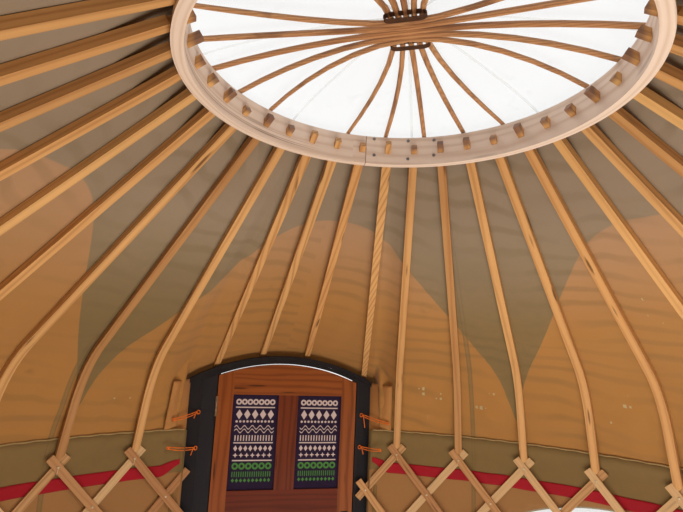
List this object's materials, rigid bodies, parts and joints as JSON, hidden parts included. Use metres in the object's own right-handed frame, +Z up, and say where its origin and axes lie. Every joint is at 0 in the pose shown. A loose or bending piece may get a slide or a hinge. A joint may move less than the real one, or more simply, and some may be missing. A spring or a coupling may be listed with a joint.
{
  "type": "yurt",
  "caption": "Round bent-rib yurt with a lattice wall, crown hoop under a clear dome, canvas cover and an arched wooden door that opens inwards.",
  "frame": {"origin": "on the ground at the middle of the round floor plan", "axes": "+Z up, the door faces -Y, +X is to the left when facing the door from inside"},
  "size_m": [3.723, 3.723, 2.521],
  "materials": {
    "pale_wood": "planed, oiled",
    "rib_wood": "planed softwood, oiled",
    "lath_wood": "planed softwood",
    "cord": "braided",
    "clear_sheet": "clear soft sheet",
    "cover_canvas": "proofed canvas",
    "belt": "woven webbing",
    "wall_canvas": "proofed canvas",
    "roof_canvas": "proofed canvas",
    "frame_paint": "painted charcoal, satin",
    "tie_rope": "twisted cord",
    "hinge_metal": "satin",
    "latch_metal": "black, satin",
    "door_wood": "varnished",
    "printed_panel": "printed cloth"
  },
  "bodies": {
    "frame": {"crown_hoop": "pale_wood", "crown_rods_across": "pale_wood", "crown_rods_along": "pale_wood", "rod_lashings": "cord", "crown_dome": "clear_sheet", "crown_cover": "cover_canvas", "cover_straps": "cord", "door_ribs": "rib_wood", "ribs_left": "rib_wood", "ribs_right": "rib_wood", "ribs_back": "rib_wood", "inner_laths": "lath_wood", "outer_laths": "lath_wood", "tension_belt": "belt", "wall_canvas_left": "wall_canvas", "wall_canvas_back_left": "wall_canvas", "wall_canvas_back_right": "wall_canvas", "wall_canvas_right": "wall_canvas", "wall_hem_rope": "cord", "windows": "clear_sheet", "roof_canvas_front": "roof_canvas", "roof_canvas_left": "roof_canvas", "roof_canvas_back_left": "roof_canvas", "roof_canvas_back_right": "roof_canvas", "roof_canvas_right": "roof_canvas", "eave_rope": "cord", "door_post_left": "frame_paint", "door_post_right": "frame_paint", "door_jamb_left": "frame_paint", "door_jamb_right": "frame_paint", "door_head": "frame_paint", "door_cap": "frame_paint", "door_sill": "frame_paint", "door_ties": "tie_rope", "hinge_frame_half": "hinge_metal"},
    "leaf": {"leaf_hinge_stile": "door_wood", "leaf_latch_stile": "door_wood", "leaf_top_rail": "door_wood", "leaf_lock_rail": "door_wood", "leaf_bottom_rail": "door_wood", "leaf_muntin": "door_wood", "leaf_lower_muntin": "door_wood", "leaf_upper_panels": "printed_panel", "leaf_lower_panels": "door_wood", "hinge_leaf_half": "hinge_metal", "door_latch": "latch_metal"}
  },
  "joints": [
    {"name": "door_hinge", "type": "hinge", "parent": "frame", "child": "leaf", "pos_m": [0.3475, -1.791, 0.8], "axis": [0, 0, -1], "range_deg": [0, 100]}
  ]
}
